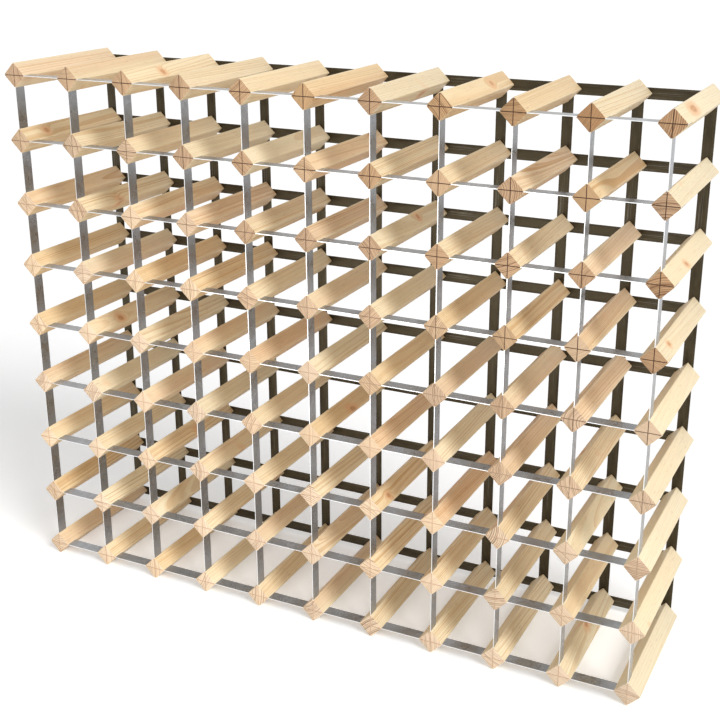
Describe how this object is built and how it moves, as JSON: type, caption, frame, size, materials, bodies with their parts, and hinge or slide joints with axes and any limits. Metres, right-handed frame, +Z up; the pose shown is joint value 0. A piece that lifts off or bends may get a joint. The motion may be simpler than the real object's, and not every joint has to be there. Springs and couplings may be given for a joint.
{
  "type": "wine rack",
  "caption": "Free-standing wine rack of square pine bars set corner up, tied at the front by thin steel strips slotted into the bar ends and at the back by flat steel straps.",
  "frame": {"origin": "middle of the underside, where the bottom bars meet the floor", "axes": "+X along the width to the right as seen from the front, +Y from the front to the back, +Z up"},
  "size_m": [1.022, 0.23, 0.825],
  "materials": {
    "pine": "planed bare softwood, satin",
    "front_steel": "galvanised, satin with a fine spangle",
    "rear_steel": "dark steel strapping, satin",
    "nail_steel": "bright wire nail, dulled"
  },
  "bodies": {
    "root": {"pine_bars_row_1": "pine", "pine_bars_row_2": "pine", "pine_bars_row_3": "pine", "pine_bars_row_4": "pine", "pine_bars_row_5": "pine", "pine_bars_row_6": "pine", "pine_bars_row_7": "pine", "pine_bars_row_8": "pine", "pine_bars_row_9": "pine", "front_horizontal_strip_1": "front_steel", "front_horizontal_strip_2": "front_steel", "front_horizontal_strip_3": "front_steel", "front_horizontal_strip_4": "front_steel", "front_horizontal_strip_5": "front_steel", "front_horizontal_strip_6": "front_steel", "front_horizontal_strip_7": "front_steel", "front_horizontal_strip_8": "front_steel", "front_horizontal_strip_9": "front_steel", "front_vertical_strip_1": "front_steel", "front_vertical_strip_2": "front_steel", "front_vertical_strip_3": "front_steel", "front_vertical_strip_4": "front_steel", "front_vertical_strip_5": "front_steel", "front_vertical_strip_6": "front_steel", "front_vertical_strip_7": "front_steel", "front_vertical_strip_8": "front_steel", "front_vertical_strip_9": "front_steel", "front_vertical_strip_10": "front_steel", "front_vertical_strip_11": "front_steel", "rear_horizontal_strap_1": "rear_steel", "rear_horizontal_strap_2": "rear_steel", "rear_horizontal_strap_3": "rear_steel", "rear_horizontal_strap_4": "rear_steel", "rear_horizontal_strap_5": "rear_steel", "rear_horizontal_strap_6": "rear_steel", "rear_horizontal_strap_7": "rear_steel", "rear_horizontal_strap_8": "rear_steel", "rear_horizontal_strap_9": "rear_steel", "rear_vertical_strap_1": "rear_steel", "rear_vertical_strap_2": "rear_steel", "rear_vertical_strap_3": "rear_steel", "rear_vertical_strap_4": "rear_steel", "rear_vertical_strap_5": "rear_steel", "rear_vertical_strap_6": "rear_steel", "rear_vertical_strap_7": "rear_steel", "rear_vertical_strap_8": "rear_steel", "rear_vertical_strap_9": "rear_steel", "rear_vertical_strap_10": "rear_steel", "rear_vertical_strap_11": "rear_steel"}
  },
  "joints": []
}
